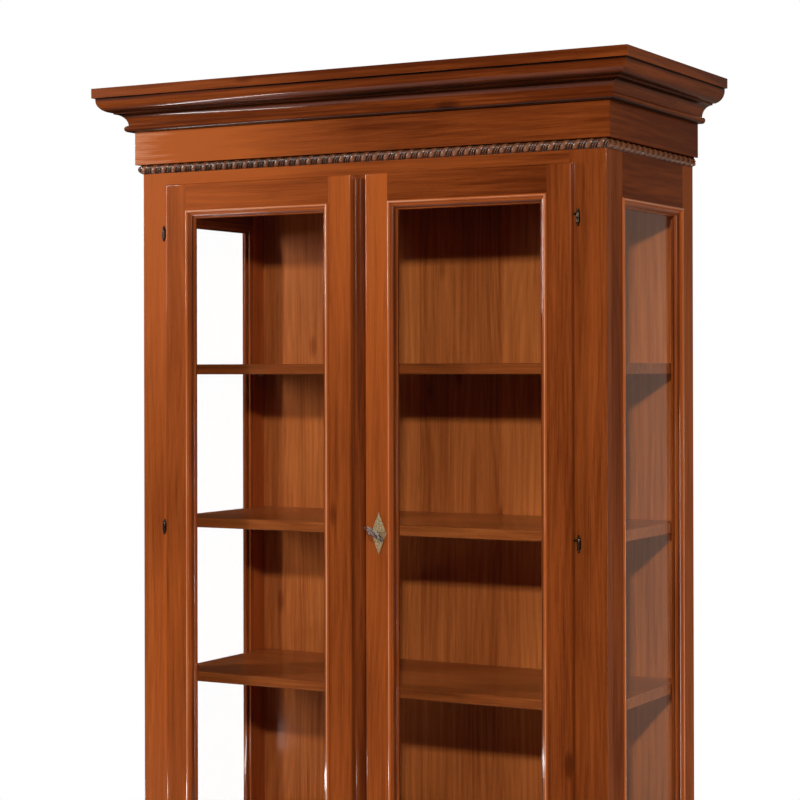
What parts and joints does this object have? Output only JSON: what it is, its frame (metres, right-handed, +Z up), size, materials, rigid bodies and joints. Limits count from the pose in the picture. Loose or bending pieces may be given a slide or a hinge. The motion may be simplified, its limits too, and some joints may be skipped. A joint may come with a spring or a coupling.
{
  "type": "glazed bookcase",
  "caption": "Free-standing wooden bookcase with hinged glass doors, glazed sides, shelves on pins, a rope moulding and crown cornice on top, and a moulded plinth.",
  "frame": {"origin": "on the floor, under the centre of the whole outline", "axes": "+Z up, -Y towards the front (the doors), +X to the right as seen from the front"},
  "size_m": [1.212, 0.5, 1.8],
  "materials": {
    "carcass_wood": "red-brown stain under satin lacquer",
    "door_wood": "red-brown stain under satin lacquer",
    "rope_wood": "dark stain under satin lacquer",
    "inside_wood": "red-brown stain, matte lacquer",
    "clear_glass": "clear float glass",
    "hinge_bronze": "dark bronzed",
    "escutcheon_brass": "antique brass",
    "key_steel": "dark antique nickel",
    "lock_brass": "brass",
    "pin_steel": "nickel plated",
    "screw_steel": "zinc plated"
  },
  "bodies": {
    "carcass": {"back_boards": "inside_wood", "back_screws": "screw_steel", "base_moulding": "carcass_wood", "bottom_board": "inside_wood", "cornice_board": "inside_wood", "crown_moulding": "carcass_wood", "face_bottom_rail": "carcass_wood", "face_top_rail": "carcass_wood", "frieze": "carcass_wood", "hinge_pins": "hinge_bronze", "hinge_post_halves": "hinge_bronze", "left_post": "carcass_wood", "left_side_beads": "carcass_wood", "left_side_bottom_rail": "carcass_wood", "left_side_front_stile": "carcass_wood", "left_side_glass": "clear_glass", "left_side_moulding": "carcass_wood", "left_side_rear_stile": "carcass_wood", "left_side_top_rail": "carcass_wood", "lower_shelf": "inside_wood", "middle_shelf": "inside_wood", "plinth": "carcass_wood", "right_post": "carcass_wood", "right_side_beads": "carcass_wood", "right_side_bottom_rail": "carcass_wood", "right_side_front_stile": "carcass_wood", "right_side_glass": "clear_glass", "right_side_moulding": "carcass_wood", "right_side_rear_stile": "carcass_wood", "right_side_top_rail": "carcass_wood", "rope_moulding": "rope_wood", "shelf_pins": "pin_steel", "top_board": "inside_wood", "upper_shelf": "inside_wood"},
    "left_door": {"left_door_beads": "door_wood", "left_door_bottom_rail": "door_wood", "left_door_glass": "clear_glass", "left_door_hinge_stile": "door_wood", "left_door_meeting_stile": "door_wood", "left_door_moulding": "door_wood", "left_door_top_rail": "door_wood", "left_hinge_door_halves": "hinge_bronze", "astragal": "door_wood", "door_bolt_guides": "lock_brass", "lock_strike": "lock_brass"},
    "right_door": {"right_door_beads": "door_wood", "right_door_bottom_rail": "door_wood", "right_door_glass": "clear_glass", "right_door_hinge_stile": "door_wood", "right_door_meeting_stile": "door_wood", "right_door_moulding": "door_wood", "right_door_top_rail": "door_wood", "right_hinge_door_halves": "hinge_bronze", "lock_case": "lock_brass", "escutcheon": "escutcheon_brass"},
    "key": {"key": "key_steel"},
    "lock_bolt": {"lock_bolt": "lock_brass"},
    "top_bolt": {"top_door_bolt": "lock_brass"},
    "bottom_bolt": {"bottom_door_bolt": "lock_brass"}
  },
  "joints": [
    {"name": "left_door_hinge", "type": "hinge", "parent": "carcass", "child": "left_door", "pos_m": [-0.474, -0.1785, 0.892], "axis": [0, 0, -1], "range_deg": [0, 120]},
    {"name": "right_door_hinge", "type": "hinge", "parent": "carcass", "child": "right_door", "pos_m": [0.474, -0.1785, 0.892], "axis": [0, 0, 1], "range_deg": [0, 120]},
    {"name": "key_turn", "type": "hinge", "parent": "right_door", "child": "key", "pos_m": [0.04775, -0.2, 0.897], "axis": [0, 1, 0], "range_deg": [0, 180]},
    {"name": "lock_bolt_slide", "type": "slide", "parent": "right_door", "child": "lock_bolt", "axis": [-1, 0, 0], "range_m": [0, 0.01]},
    {"name": "top_bolt_slide", "type": "slide", "parent": "left_door", "child": "top_bolt", "axis": [0, 0, 1], "range_m": [0, 0.014]},
    {"name": "bottom_bolt_slide", "type": "slide", "parent": "left_door", "child": "bottom_bolt", "axis": [0, 0, -1], "range_m": [0, 0.014]}
  ],
  "couplings": [
    {"joint": "lock_bolt_slide", "follows": "key_turn", "m_per_rad": 0.0031831}
  ]
}
